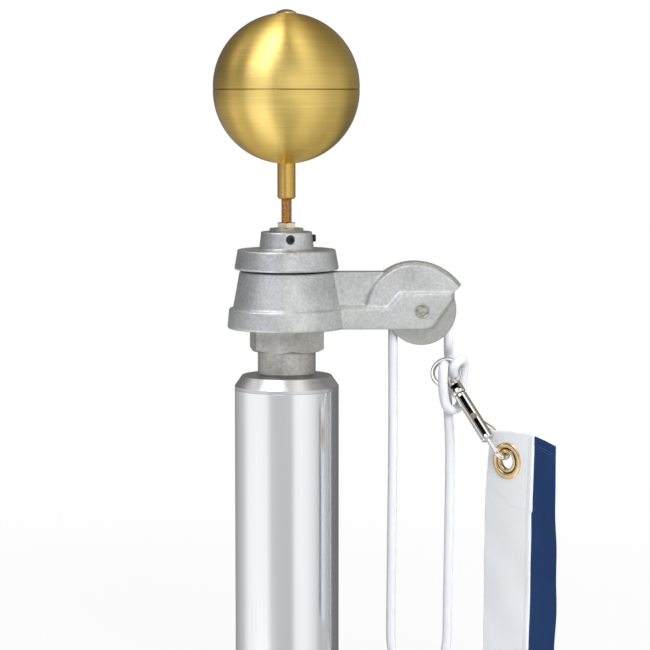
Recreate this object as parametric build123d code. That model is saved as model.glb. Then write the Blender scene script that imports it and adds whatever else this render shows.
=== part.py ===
from build123d import *
from math import atan, cos, degrees, radians, sin, sqrt, tan
import os

# Flagpole head: the top length of an aluminium pole with its plug and spindle, a revolving
# truck that carries a rope sheave, the cap over the truck, and a two-piece ball on a rod.
# The halyard runs over the sheave and holds a bolt snap with the hoist strip of a flag.
# Millimetres. The origin is the centre of the pole's lower end, +Z is up, and the truck's
# arm points along +X.

# Pole and plug
pole_diameter = 91.0
pole_wall = 4.8
section_length = 262.0
plug_rim_height = 2.5
plug_bevel_height = 9.0
plug_bevel_width = 6.3
plug_spigot_length = 38.0
spigot_clearance = 0.15
pole_top_chamfer = 0.6

# Spindle, one turned piece with a hexagon
base_diameter = 50.6
base_height = 21.5
base_chamfer = 2.6
hex_across_flats = 59.6
hex_height = 19.7
hex_chamfer = 2.6
hex_chamfer_inset = 0.4
hex_turn = 40.0
shaft_diameter = 29.0
stud_diameter = 24.0
stud_length = 30.0
thread_stickout = 2.9

# Truck casting
thrust_gap = 0.3
shaft_clearance = 0.06
flange_height = 17.5
flange_top_radius = 50.2
flange_bottom_radius = 51.7
flange_round = 0.9
housing_height = 32.0
housing_top_radius = 41.0
housing_bottom_radius = 46.8
axle_reach = 117.0
axle_height = 16.0
web_half_width = 8.5
hood_half_width = 13.6
cheek_half_width = 18.4
web_height = 49.3
rail_height = 16.9
cheek_height = 29.8
web_nose_drop = 12.0
web_nose_length = 24.0
level_slope = 3.2
hood_radius = 44.0
hood_front_radius = 51.6
hood_setback = 6.0
hood_drop = 1.8
lip_angle = 37.5
cheek_reach = 25.4
cheek_toe_height = 26.2
cheek_floor_reach = 1.0
cheek_foot_reach = 8.8
cheek_foot_rise = 2.4
cheek_back = 17.3
cheek_back_run = 11.3

# Sheave and axle
rope_diameter = 8.0
sheave_pitch_radius = 24.4
sheave_rim_radius = 30.6
sheave_width = 15.4
sheave_edge = 0.6
groove_clearance = 0.3
groove_flare = 1.2
slot_side_gap = 0.7
slot_roof_gap = 3.4
axle_diameter = 9.5
axle_running_clearance = 0.05
axle_head_radius = 6.4
axle_head_height = 1.4
axle_head_bevel = 1.0

# Cap, set screws and nut
cap_gap = 1.5
cap_skirt_height = 17.5
cap_skirt_bottom_radius = 45.7
cap_skirt_top_radius = 42.6
cap_foot_round = 1.6
cap_shoulder_round = 0.8
collar_height = 15.6
collar_bottom_radius = 23.9
collar_top_radius = 22.1
screw_diameter = 6.4
screw_socket = 3.2
screw_socket_depth = 3.0
screw_stickout = 2.4
screw_rise = 1.7
screw_turns = (-81.3, 8.7)
nut_across_flats = 15.3
nut_thickness = 4.8
nut_chamfer = 0.7

# Rod, sleeve and ball
rod_diameter = 9.5
rod_bite = 18.0
rod_exposed = 20.4
sleeve_diameter = 15.8
sleeve_length = 31.0
sleeve_chamfer = 1.6
ball_diameter = 127.0
ball_wall = 1.5
lower_skirt = 0.8
upper_skirt = 2.3
seam_chamfer = 0.5
ball_cap_radius = 8.8
ball_cap_height = 3.4
ball_cap_rim = 0.8

# Snap, along its own axis from the centre of the eye
eye_drop = 55.7
eye_offset = -1.9
eye_ring_radius = 12.0
eye_wire = 4.0
snap_slope = 47.0
flag_turn = 47.0
boss_diameter = 12.4
boss_neck_diameter = 8.4
boss_swell = 6.0
boss_step = 1.2
boss_foot_chamfer = 1.2
pocket_width = 8.0
pocket_length = 6.2
pocket_floor = 2.6
pocket_wall = 1.8
barrel_start = 24.4
barrel_diameter = 11.0
barrel_shoulder = 1.2
barrel_end_chamfer = 0.8
post_diameter = 4.2
post_head_diameter = 6.4
post_head_height = 2.4
swivel_clearance = 0.08
swivel_end_gap = 0.3
hook_wire = 5.0
hook_offset = 12.5
hook_branch = 57.5
hook_rise = 15.0
hook_bend = 10.0
bolt_diameter = 4.4
bolt_clearance = 0.1
bolt_tail = 9.0
bolt_gate = 13.1
tip_straight = 0.8
slot_width = 3.2
slot_margin = 3.4
stud_place = 51.0
stud_shank_diameter = 2.6
stud_head_diameter = 5.4
stud_head_gap = 0.6
stud_reach = 9.6
slot_turn = 142.0

# Flag strip
grommet_place = 97.3
grommet_outer_diameter = 32.0
grommet_hole_diameter = 14.0
grommet_flange = 0.8
grommet_neck = 1.0
grommet_roll = 0.5
grommet_valley_radius = 11.6
grommet_valley = 0.45
grommet_gap = 0.6
strip_play = 0.65
header_width = 52.2
header_offset = 3.4
header_thickness = 1.8
header_above_grommet = 24.3
header_top_rise = 3.1
header_foot = 26.0
field_width = 23.8
field_thickness = 1.0
field_top_drop = 2.0
field_top_fall = 6.8

# Halyard. The hitch's turns are in rope diameters from the rope's line at the eye's height.
loop_foot = 9.0
eye_play = 0.3
hitch_turns = [
    (0, 0, -5.5), (0, 0, -4.3), (-0.05, 0.8, -2.9), (-0.25, 1.1, -1.4), (-0.6, 0.3, -0.1),
    (-0.5, -0.8, 1.1), (-0.7, -1.85, 0.8), (-0.75, -1.95, -0.9), (-0.6, -1.6, -2.5),
    (-0.25, -1.55, -3.85), (1.1, -0.25, -4.1), (1.65, 0.95, -2.65), (1.6, 0.95, -0.9),
    (1.85, 0.6, 0.9), (1.35, -1.0, 1.75), (0.4, -1.75, 0.9), (0.5, -0.3, -0.45), (0.4, 1.45, 0.25),
    (0.1, 1.75, 2.0), (0, 0, 3.5), (0, 0, 4.7),
]

# Heights that follow
plug_top = section_length + plug_rim_height + plug_bevel_height
hex_bottom = plug_top + base_height
hex_top = hex_bottom + hex_height
truck_bottom = hex_top + thrust_gap
flange_top = truck_bottom + flange_height
housing_top = flange_top + housing_height
axle_z = truck_bottom + axle_height
eye_height = axle_z - eye_drop
cap_bottom = housing_top + cap_gap
skirt_top = cap_bottom + cap_skirt_height
collar_top = skirt_top + collar_height
screw_height = skirt_top + collar_height / 2 + screw_rise
shaft_top = collar_top + thread_stickout
nut_top = shaft_top + nut_thickness
sleeve_bottom = nut_top + rod_exposed
sleeve_top = sleeve_bottom + sleeve_length
ball_radius = ball_diameter / 2
ball_seat_radius = sleeve_diameter / 2
seam_z = sleeve_top + lower_skirt + sqrt(ball_radius**2 - ball_seat_radius**2)
ball_top = seam_z + upper_skirt + sqrt(ball_radius**2 - ball_cap_radius**2)

pole_radius = pole_diameter / 2
bore_radius = pole_radius - pole_wall
shaft_radius = shaft_diameter / 2
rod_radius = rod_diameter / 2
rope_radius = rope_diameter / 2


def turned(*corners):
    """Solid of revolution about Z from its (radius, height) corners."""
    return revolve(Plane.XZ * make_face(Polyline(*corners, close=True)), Axis.Z)


def rod(radius, bottom, top, x=0.0, y=0.0):
    """Upright cylinder between two heights."""
    return Pos(x, y, bottom) * extrude(Circle(radius), top - bottom)


def upright_prism(face, bottom, top, turn=0.0):
    """Flat outline drawn about Z, raised between two heights."""
    return Pos(0, 0, bottom) * Rot(0, 0, turn) * extrude(face, top - bottom)


def across_arm(face, half_width):
    """Outline in the XZ plane raised both ways from the arm's mid plane."""
    return extrude(Plane.XZ * face, half_width, both=True)


def on_axle(x, radius, half_width):
    """Cylinder across the arm at the axle's height, both ways from the mid plane."""
    return Pos(x, 0, axle_z) * Rot(90, 0, 0) * Cylinder(radius, 2 * half_width)


def both_sides(near):
    """The solid on the near side of the arm and its mirror image on the far side."""
    return near + mirror(near, about=Plane.XZ)


def make_pole():
    top = section_length - pole_top_chamfer
    return turned((bore_radius, 0), (pole_radius, 0), (pole_radius, top),
                  (pole_radius - pole_top_chamfer, section_length), (bore_radius, section_length))


def make_plug():
    """Bevelled plug that closes the pole, with a spigot down its bore and a tapped hole."""
    spigot = bore_radius - spigot_clearance
    rim = section_length + plug_rim_height
    foot = section_length - plug_spigot_length
    body = turned((0, foot), (spigot, foot), (spigot, section_length), (pole_radius, section_length),
                  (pole_radius, rim), (pole_radius - plug_bevel_width, plug_top), (0, plug_top))
    return body - rod(stud_diameter / 2, plug_top - stud_length, plug_top)


def make_spindle():
    """Stud, round base, hexagon and long shaft, with a socket in the top for the ball's rod."""
    base = turned((0, plug_top), (base_diameter / 2 - base_chamfer, plug_top),
                  (base_diameter / 2, plug_top + base_chamfer), (base_diameter / 2, hex_bottom),
                  (0, hex_bottom))
    corner = hex_across_flats / 2 / cos(radians(30))
    hexagon = upright_prism(RegularPolygon(corner, 6), hex_bottom, hex_top, hex_turn)
    cone = turned((0, hex_bottom), (hex_across_flats / 2 - hex_chamfer_inset, hex_bottom),
                  (corner, hex_bottom + hex_chamfer), (corner, hex_top), (0, hex_top))
    shaft = rod(shaft_radius, hex_top, shaft_top)
    stud = rod(stud_diameter / 2, plug_top - stud_length, plug_top)
    return stud + base + (hexagon & cone) + shaft - rod(rod_radius, shaft_top - rod_bite, shaft_top)


def make_housing():
    """Round housing: a flange with a slight draft under a tall cone."""
    return turned((0, truck_bottom), (flange_bottom_radius - flange_round, truck_bottom),
                  (flange_bottom_radius, truck_bottom + flange_round),
                  (flange_top_radius, flange_top - flange_round),
                  (flange_top_radius - flange_round, flange_top), (housing_bottom_radius, flange_top),
                  (housing_top_radius, housing_top), (0, housing_top))


def make_web():
    """Thin spine of the arm, from the housing to the hood."""
    end = axle_reach - hood_setback
    top = truck_bottom + web_height
    return across_arm(make_face(Polyline(
        (0, truck_bottom), (end, truck_bottom), (end, top - web_nose_drop),
        (end - web_nose_length, top), (0, top), close=True)), web_half_width)


def hood_round(radius, centre_x, centre_z):
    """Disc of the hood whose edge slopes in from the web's faces to the hood's own."""
    depth = hood_half_width - web_half_width
    place = Pos(centre_x, 0, centre_z) * Rot(90, 0, 0)
    rim = Pos(0, 0, web_half_width + depth / 2) * Cone(radius, radius - level_slope, depth)
    return place * (Cylinder(radius, 2 * web_half_width) + rim + mirror(rim, about=Plane.XY))


def make_hood():
    """Round hood over the sheave. Past its top it falls in a wider arc to a lip above the rope."""
    centre = axle_reach - hood_setback
    back_z = axle_z - hood_drop
    front_z = back_z + hood_radius - hood_front_radius
    tip_x = centre + hood_front_radius * cos(radians(lip_angle))
    tip_z = front_z + hood_front_radius * sin(radians(lip_angle))
    heel = axle_reach + cheek_reach
    left = centre - 2 * hood_radius
    roof = axle_z + 2 * hood_radius
    back = make_face(Polyline((left, back_z), (centre, back_z), (centre, roof), (left, roof), close=True))
    front = make_face(Polyline(
        (centre, axle_z), (heel, axle_z), (heel, truck_bottom + cheek_height), (tip_x, tip_z),
        (tip_x, roof), (centre, roof), close=True))
    disc = hood_round(hood_radius, centre, back_z) & across_arm(back, hood_half_width)
    disc += hood_round(hood_front_radius, centre, front_z) & across_arm(front, hood_half_width)
    foot_start = centre - hood_radius + level_slope
    foot = make_face(Polyline((foot_start, truck_bottom), (axle_reach, truck_bottom), (axle_reach, axle_z),
                              (foot_start, axle_z), close=True))
    return disc + across_arm(foot, hood_half_width)


def cheek_outline():
    """Outline of rail and cheek on their outer face."""
    heel = axle_reach + cheek_reach
    back = axle_reach - cheek_back
    rail_top = truck_bottom + rail_height
    cheek_top = truck_bottom + cheek_height
    return make_face(Polyline(
        (0, truck_bottom), (axle_reach + cheek_floor_reach, truck_bottom),
        (axle_reach + cheek_foot_reach, truck_bottom + cheek_foot_rise),
        (heel, truck_bottom + cheek_toe_height), (heel, cheek_top), (back, cheek_top),
        (back - cheek_back_run, rail_top), (0, rail_top), close=True))


def make_cheeks():
    """Rail and cheek on both sides, whose edges spread towards the mid plane."""
    wide = offset(cheek_outline(), level_slope, kind=Kind.INTERSECTION)
    depth = cheek_half_width - hood_half_width
    draft = degrees(atan(level_slope / depth))
    block = across_arm(wide, hood_half_width)
    block += both_sides(extrude(Plane.XZ.offset(hood_half_width) * wide, depth, taper=draft))
    floor = Pos(axle_reach, 0, truck_bottom - level_slope) * Box(
        4 * axle_reach, 4 * cheek_half_width, 2 * level_slope)
    return block - floor


def make_truck():
    """Casting with its housing, web, hood, rails and cheeks, cut for the shaft and the sheave."""
    casting = make_housing() + make_web() + make_hood() + make_cheeks()
    slot_half = sheave_width / 2 + slot_side_gap
    slot_radius = sheave_rim_radius + slot_roof_gap
    slot = on_axle(axle_reach, slot_radius, slot_half)
    slot += Pos(axle_reach, 0, truck_bottom) * Box(2 * slot_radius, 2 * slot_half, 2 * axle_height)
    casting -= slot
    casting -= rod(shaft_radius + shaft_clearance, truck_bottom, housing_top)
    return casting - on_axle(axle_reach, axle_diameter / 2, cheek_half_width)


def make_axle():
    """Pin with a low bevelled head on each cheek, as a riveted pin has."""
    head = Pos(axle_reach, -cheek_half_width, axle_z) * Rot(90, 0, 0) * Cone(
        axle_head_radius, axle_head_radius - axle_head_bevel, axle_head_height,
        align=(Align.CENTER, Align.CENTER, Align.MIN))
    return on_axle(axle_reach, axle_diameter / 2, cheek_half_width) + both_sides(head)


def make_sheave():
    """Grooved wheel on the axle, with a round-bottomed groove that flares at the rim."""
    half = sheave_width / 2
    bore = axle_diameter / 2 + axle_running_clearance
    shoulder = half - sheave_edge
    disc = turned((bore, -half), (sheave_rim_radius - sheave_edge, -half), (sheave_rim_radius, -shoulder),
                  (sheave_rim_radius, shoulder), (sheave_rim_radius - sheave_edge, half), (bore, half))
    groove_radius = rope_radius + groove_clearance
    groove = revolve(Plane.XZ * (Pos(sheave_pitch_radius, 0) * Circle(groove_radius)), Axis.Z)
    outside = sheave_rim_radius + groove_flare
    mouth = turned((sheave_pitch_radius, -groove_radius), (outside, -groove_radius - groove_flare),
                   (outside, groove_radius + groove_flare), (sheave_pitch_radius, groove_radius))
    return Pos(axle_reach, 0, axle_z) * Rot(90, 0, 0) * (disc - groove - mouth)


def make_cap():
    """Cap and collar in one casting, bored for the shaft and drilled for two set screws."""
    body = turned((shaft_radius, cap_bottom), (cap_skirt_bottom_radius, cap_bottom),
                  (cap_skirt_top_radius, skirt_top), (collar_bottom_radius, skirt_top),
                  (collar_top_radius, collar_top), (shaft_radius, collar_top))
    rings = body.edges().filter_by(GeomType.CIRCLE)
    body = fillet(rings.group_by(Axis.Z)[0].sort_by(SortBy.RADIUS)[-1], cap_foot_round)
    rings = body.edges().filter_by(GeomType.CIRCLE)
    shoulder = rings.filter_by(lambda ring: abs(ring.center().Z - skirt_top) < ring.radius / 1000)
    body = fillet(shoulder.sort_by(SortBy.RADIUS)[-1], cap_shoulder_round)
    for turn in screw_turns:
        body -= screw_bar(screw_diameter / 2, 0, 2 * collar_bottom_radius, turn)
    return body


def screw_bar(radius, start, end, turn):
    """Cylinder that points out of the collar at the given turn about the pole."""
    return Rot(0, 0, turn) * Pos(start, 0, screw_height) * Rot(0, 90, 0) * Cylinder(
        radius, end - start, align=(Align.CENTER, Align.CENTER, Align.MIN))


def make_set_screw(turn):
    """Socket set screw whose flat point stands on the shaft."""
    end = (collar_bottom_radius + collar_top_radius) / 2 + screw_stickout
    screw = screw_bar(screw_diameter / 2, 0, end, turn) - rod(shaft_radius, skirt_top, collar_top)
    socket = Rot(0, 0, turn) * Pos(end - screw_socket_depth, 0, screw_height) * Rot(0, 90, 0) * extrude(
        RegularPolygon(screw_socket / 2 / cos(radians(30)), 6), screw_socket_depth)
    return screw - socket


def make_jam_nut():
    corner = nut_across_flats / 2 / cos(radians(30))
    nut = upright_prism(RegularPolygon(corner, 6), shaft_top, nut_top, 30)
    lathe = turned((0, shaft_top), (nut_across_flats / 2, shaft_top), (corner, shaft_top + nut_chamfer),
                   (corner, nut_top - nut_chamfer), (nut_across_flats / 2, nut_top), (0, nut_top))
    return (nut & lathe) - rod(rod_radius, shaft_top, nut_top)


def make_rod():
    return rod(rod_radius, shaft_top - rod_bite, ball_top)


def make_sleeve():
    radius = sleeve_diameter / 2
    return turned((rod_radius, sleeve_bottom), (radius - sleeve_chamfer, sleeve_bottom),
                  (radius, sleeve_bottom + sleeve_chamfer), (radius, sleeve_top), (rod_radius, sleeve_top))


def ball_shell(side, skirt, seat_radius, seat_z):
    """Half of the ball, below (-1) or above (1) the seam, with a short straight skirt at the seam
    and a flat seat round the hole for the rod."""
    inner = ball_radius - ball_wall
    centre = seam_z + side * skirt
    wall_z = centre + side * sqrt(inner**2 - rod_radius**2)
    middle = radians(45)
    outline = [
        Polyline((inner, centre), (inner, seam_z), (ball_radius - seam_chamfer, seam_z),
                 (ball_radius, seam_z + side * seam_chamfer), (ball_radius, centre)),
        ThreePointArc((ball_radius, centre),
                      (ball_radius * cos(middle), centre + side * ball_radius * sin(middle)),
                      (seat_radius, seat_z)),
        Polyline((seat_radius, seat_z), (rod_radius, seat_z), (rod_radius, wall_z)),
        ThreePointArc((rod_radius, wall_z), (inner * cos(middle), centre + side * inner * sin(middle)),
                      (inner, centre)),
    ]
    return revolve(Plane.XZ * make_face(outline), Axis.Z)


def make_ball_lower():
    return ball_shell(-1, lower_skirt, ball_seat_radius, sleeve_top)


def make_ball_upper():
    return ball_shell(1, upper_skirt, ball_cap_radius, ball_top)


def make_ball_cap():
    """Low domed nut that closes the top of the rod."""
    rise = ball_cap_height - ball_cap_rim
    dome_radius = (ball_cap_radius**2 + rise**2) / (2 * rise)
    dome = Pos(0, 0, ball_top + ball_cap_height - dome_radius) * Sphere(dome_radius)
    return dome & rod(ball_cap_radius, ball_top, ball_top + 2 * ball_cap_height)


# The snap hangs in the upright plane that the flag strip lies in.
rope_line = axle_reach + sheave_pitch_radius
eye_centre = Vector(rope_line + eye_offset, 0, eye_height)
slope, turn = radians(snap_slope), radians(flag_turn)
snap_axis = Vector(cos(slope) * cos(turn), -cos(slope) * sin(turn), -sin(slope))
strip_rear = Vector(sin(turn), cos(turn), 0)
strip_along = Vector(cos(turn), -sin(turn), 0)
snap_place = Plane(origin=eye_centre, x_dir=strip_rear, z_dir=snap_axis).location

boss_start = eye_ring_radius - eye_wire / 2 - boss_step
boss_end = barrel_start - swivel_end_gap
pocket_end = boss_end - pocket_floor
hook_radius = hook_offset / 2
hook_centre = grommet_place - grommet_hole_diameter / 2 + grommet_gap - (hook_radius - hook_wire / 2)
gate_tip = hook_centre - tip_straight
barrel_end = gate_tip - bolt_gate
slot_start = barrel_start + slot_margin
slot_end = barrel_end - slot_margin
strip_offset = hook_radius + strip_play
strip_origin = eye_centre + snap_axis * grommet_place + strip_rear * strip_offset
strip_place = Plane(origin=strip_origin, x_dir=strip_along, z_dir=-strip_rear).location


def barrel_rod(radius, start, end):
    """Cylinder on the snap's axis, in the snap's own frame."""
    return Pos(0, 0, start) * extrude(Circle(radius), end - start)


def sideways(start, end, radius):
    """Cylinder that points out of the barrel towards the slot's side."""
    return Rot(0, 0, slot_turn) * Pos(start, 0, 0) * Rot(0, 90, 0) * Cylinder(
        radius, end - start, align=(Align.CENTER, Align.CENTER, Align.MIN))


def eye_ring(wire_radius):
    return Rot(0, 0, slot_turn) * Rot(0, 90, 0) * Torus(eye_ring_radius, wire_radius)


def make_snap_eye():
    """Round ring whose flat side faces the slot's side. Its boss has a pocket, open on that side,
    in which the swivel post's head sits."""
    radius = boss_diameter / 2
    boss = turned((0, boss_start), (boss_neck_diameter / 2, boss_start), (radius, boss_start + boss_swell),
                  (radius, boss_end - boss_foot_chamfer), (radius - boss_foot_chamfer, boss_end),
                  (0, boss_end))
    pocket = Rot(0, 0, slot_turn) * Pos(pocket_wall - radius, 0, pocket_end - pocket_length) * Box(
        2 * boss_diameter, pocket_width, pocket_length, align=(Align.MIN, Align.CENTER, Align.MIN))
    hole = barrel_rod(post_diameter / 2 + swivel_clearance, pocket_end, boss_end)
    return snap_place * (eye_ring(eye_wire / 2) + boss - pocket - hole)


def make_snap_body():
    """Barrel with its bore, slot and swivel post, and the hook that leaves its back."""
    radius = barrel_diameter / 2
    barrel = turned((0, barrel_start), (radius - barrel_shoulder, barrel_start),
                    (radius, barrel_start + barrel_shoulder), (radius, barrel_end - barrel_end_chamfer),
                    (radius - barrel_end_chamfer, barrel_end), (0, barrel_end))
    head_top = pocket_end - swivel_end_gap
    post = barrel_rod(post_diameter / 2, head_top, barrel_start)
    post += barrel_rod(post_head_diameter / 2, head_top - post_head_height, head_top)
    bow_end = hook_centre + hook_radius
    bow_bend = hook_radius * 0.99
    path = FilletPolyline(
        (0, 0, hook_branch - hook_rise / 2), (hook_offset, 0, hook_branch + hook_rise / 2),
        (hook_offset, 0, bow_end), (0, 0, bow_end), (0, 0, gate_tip),
        radius=[hook_bend, bow_bend, bow_bend])
    hook = sweep(Plane(origin=path @ 0, z_dir=path % 0) * Circle(hook_wire / 2), path=path)
    bore = barrel_rod(bolt_diameter / 2 + bolt_clearance, slot_start, barrel_end)
    slot = Rot(0, 0, slot_turn) * Pos(radius, 0, (slot_start + slot_end) / 2) * Box(
        2 * radius, slot_width, slot_end - slot_start)
    return snap_place * (barrel + post + hook - bore - slot)


def make_bolt():
    return snap_place * barrel_rod(bolt_diameter / 2, stud_place - bolt_tail, gate_tip)


def make_thumb_stud():
    """Stud that is driven into the bolt and stands out of the barrel's slot."""
    shank = sideways(0, stud_reach, stud_shank_diameter / 2)
    head = sideways(barrel_diameter / 2 + stud_head_gap, stud_reach, stud_head_diameter / 2)
    bolt = barrel_rod(bolt_diameter / 2, -bolt_tail, bolt_tail)
    return snap_place * Pos(0, 0, stud_place) * (shank + head - bolt)


def strip_panel(left, right, drop_left, drop_right, thickness, hole=0.0):
    """Upright cloth panel in the strip's own plane, from the header's foot to its top edge."""
    top = header_above_grommet
    bottom = header_foot - strip_origin.Z
    outline = make_face(Polyline((left, bottom), (right, bottom), (right, top - drop_right),
                                 (left, top - drop_left), close=True))
    panel = extrude(outline, thickness / 2, both=True)
    if hole:
        panel -= Cylinder(hole, 2 * thickness)
    return strip_place * panel


header_right = header_offset + header_width / 2


def make_header():
    return strip_panel(header_right - header_width, header_right, 0, -header_top_rise, header_thickness,
                       grommet_hole_diameter / 2 + grommet_neck)


def make_field():
    return strip_panel(header_right, header_right + field_width, field_top_drop - header_top_rise,
                       field_top_drop - header_top_rise + field_top_fall, field_thickness)


def grommet_half(side):
    """One rolled ring of the grommet, on the front (1) or the back (-1) of the header."""
    inner = grommet_hole_diameter / 2 + grommet_neck
    outer = grommet_outer_diameter / 2
    face = header_thickness / 2
    top = face + grommet_flange
    ring = turned((inner, face), (outer, face), (outer - grommet_roll, top),
                  (grommet_valley_radius + grommet_valley, top),
                  (grommet_valley_radius, top - grommet_valley),
                  (grommet_valley_radius - grommet_valley, top), (inner + grommet_roll, top),
                  (inner, top - grommet_roll))
    return Rot(0, 0 if side > 0 else 180, 0) * ring


def make_grommet():
    """Front ring with the neck that passes through the header."""
    hole = grommet_hole_diameter / 2
    face = header_thickness / 2
    top = face + grommet_flange - grommet_roll
    neck = turned((hole, -face), (hole + grommet_neck, -face), (hole + grommet_neck, top), (hole, top))
    return strip_place * (grommet_half(1) + neck)


def make_washer():
    return strip_place * grommet_half(-1)


def rope_tube(route, radii):
    """Round tube along straight runs joined by arcs."""
    path = FilletPolyline(*route, radius=radii)
    return sweep(Plane(origin=path @ 0, z_dir=path % 0) * Circle(rope_radius), path=path)


hitch_route = [Vector(rope_line, 0, eye_height) + Vector(*turn) * rope_diameter for turn in hitch_turns]
corner_run = sheave_pitch_radius * tan(radians(22.5))
rope_return = axle_reach - sheave_pitch_radius
crown = axle_z + sheave_pitch_radius
loop_side = loop_foot + sheave_pitch_radius
halyard_route = [
    (rope_line, 0, hitch_route[-1].Z),
    (rope_line, 0, axle_z + corner_run),
    (axle_reach + corner_run, 0, crown),
    (axle_reach - corner_run, 0, crown),
    (rope_return, 0, axle_z + corner_run),
    (rope_return, 0, loop_side - corner_run),
    (axle_reach - corner_run, 0, loop_foot),
    (axle_reach + corner_run, 0, loop_foot),
    (rope_line, 0, loop_side - corner_run),
    (rope_line, 0, hitch_route[0].Z),
]


def make_halyard():
    """Rope from the top of the hitch over the sheave, down and back up to the hitch."""
    return rope_tube(halyard_route, sheave_pitch_radius * 0.999)


def hitch_radii(route):
    """Largest arc that the two runs at each corner allow."""
    radii = []
    for before, corner, after in zip(route, route[1:], route[2:]):
        run = min((corner - before).length, (after - corner).length)
        half_turn = radians((corner - before).get_angle(after - corner)) / 2
        radii.append(0.45 * run / tan(half_turn))
    return radii


def make_hitch():
    """The rope's own turns through the snap's eye, pressed in where they lie on it."""
    radii = hitch_radii(hitch_route)
    print("rope radii:", [round(radius, 1) for radius in [sheave_pitch_radius, *radii]])
    boss = barrel_rod(boss_diameter / 2 + eye_play, boss_start - eye_play, barrel_start)
    return rope_tube(hitch_route, radii) - snap_place * (eye_ring(eye_wire / 2 + eye_play) + boss)


nodes = {
    "pole_tube": make_pole,
    "pole_plug": make_plug,
    "spindle": make_spindle,
    "truck_casting": make_truck,
    "sheave": make_sheave,
    "axle_pin": make_axle,
    "truck_cap": make_cap,
    "set_screw_front": lambda: make_set_screw(screw_turns[0]),
    "set_screw_side": lambda: make_set_screw(screw_turns[1]),
    "jam_nut": make_jam_nut,
    "finial_rod": make_rod,
    "rod_sleeve": make_sleeve,
    "ball_lower": make_ball_lower,
    "ball_upper": make_ball_upper,
    "ball_cap": make_ball_cap,
    "halyard": make_halyard,
    "halyard_hitch": make_hitch,
    "snap_eye": make_snap_eye,
    "snap_body": make_snap_body,
    "snap_bolt": make_bolt,
    "snap_thumb_stud": make_thumb_stud,
    "flag_header": make_header,
    "flag_field": make_field,
    "grommet": make_grommet,
    "grommet_washer": make_washer,
}

os.makedirs("parts", exist_ok=True)
for name, make in nodes.items():
    export_step(make(), f"parts/{name}.step")
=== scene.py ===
from math import cos, pi, radians, sin, sqrt

import bmesh
import bpy
from mathutils import Matrix, Vector


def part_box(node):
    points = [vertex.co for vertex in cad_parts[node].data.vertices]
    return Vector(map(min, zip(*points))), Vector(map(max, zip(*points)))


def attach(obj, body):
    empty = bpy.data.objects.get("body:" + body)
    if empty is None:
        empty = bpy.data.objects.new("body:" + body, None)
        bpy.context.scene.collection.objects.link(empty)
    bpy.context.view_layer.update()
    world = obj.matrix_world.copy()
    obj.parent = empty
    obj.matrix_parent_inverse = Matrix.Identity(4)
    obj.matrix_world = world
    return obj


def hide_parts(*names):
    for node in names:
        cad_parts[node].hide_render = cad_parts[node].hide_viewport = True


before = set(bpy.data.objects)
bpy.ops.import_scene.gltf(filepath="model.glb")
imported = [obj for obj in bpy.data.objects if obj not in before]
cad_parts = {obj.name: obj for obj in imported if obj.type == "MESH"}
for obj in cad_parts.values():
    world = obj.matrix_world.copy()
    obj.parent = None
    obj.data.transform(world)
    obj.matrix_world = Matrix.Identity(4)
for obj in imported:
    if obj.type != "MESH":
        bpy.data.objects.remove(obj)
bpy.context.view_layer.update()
scene = bpy.context.scene
MM = 0.001

# Camera, about level with the seam of the ball and two metres from the arm. The image is 650
# pixels wide and high, and the lens is given by its focal length in pixels.
image_width = 650
focal_pixels = 2367
camera_place = Vector((0, -2.055, 0.520))
camera_yaw = radians(-0.932)
camera_pitch = radians(-5.633)
camera_data = bpy.data.cameras.new("camera")
camera_data.sensor_width = 36
camera_data.lens = camera_data.sensor_width * focal_pixels / image_width
camera = bpy.data.objects.new("camera", camera_data)
camera.location = camera_place
camera.rotation_euler = (radians(90) + camera_pitch, 0, camera_yaw)
scene.collection.objects.link(camera)
scene.camera = camera


# Pole: a drawn aluminium tube, polished lengthwise, so its grain runs up and down. It is cut
# square, and the plug closes its top.
def material(name, colour, metallic, roughness, **sockets):
    """New material, with what is the same all over it set on the shader's own sockets."""
    made = bpy.data.materials.new(name)
    made.use_nodes = True
    shader = made.node_tree.nodes["Principled BSDF"]
    shader.inputs["Base Color"].default_value = (*colour, 1)
    shader.inputs["Metallic"].default_value = metallic
    shader.inputs["Roughness"].default_value = roughness
    for socket, value in sockets.items():
        shader.inputs[socket.replace("_", " ")].default_value = value
    return made


def node(tree, kind, *inputs, **settings):
    """Adds a node. An input is a value, or another node whose first output it takes."""
    made = tree.nodes.new(kind)
    for key, value in settings.items():
        setattr(made, key, value)
    for socket, value in zip(made.inputs, inputs):
        if value is None:
            continue
        if isinstance(value, bpy.types.Node):
            value = value.outputs[0]
        if isinstance(value, bpy.types.NodeSocket):
            tree.links.new(value, socket)
        else:
            socket.default_value = value
    return made


def calc(tree, operation, *inputs):
    """One operation on numbers, under Blender's own name for it."""
    return node(tree, "ShaderNodeMath", *inputs, operation=operation)


def vector_calc(tree, operation, *inputs):
    """The same on vectors. A length or a dot product comes out of the output Value."""
    return node(tree, "ShaderNodeVectorMath", *inputs, operation=operation)


def mapped(tree, value, start, end, first=0.0, last=1.0, **settings):
    """Number that goes from first to last, and no further, as the value goes from start to end."""
    return node(tree, "ShaderNodeMapRange", value, start, end, first, last, **settings)


def spread(tree, factor, first, last):
    """Number that goes from first to last as the factor goes from 0 to 1."""
    return mapped(tree, factor, 0.0, 1.0, first, last)


def blended(tree, factor, first, second):
    """Colour that goes from the first to the second as the factor goes from 0 to 1."""
    ramp = node(tree, "ShaderNodeValToRGB", factor)
    ramp.color_ramp.elements[0].color = (*first, 1)
    ramp.color_ramp.elements[1].color = (*second, 1)
    return ramp.outputs["Color"]


def surface_place(tree):
    """Place of the surface in the part's own frame, in metres."""
    return node(tree, "ShaderNodeTexCoord").outputs["Object"]


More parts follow.
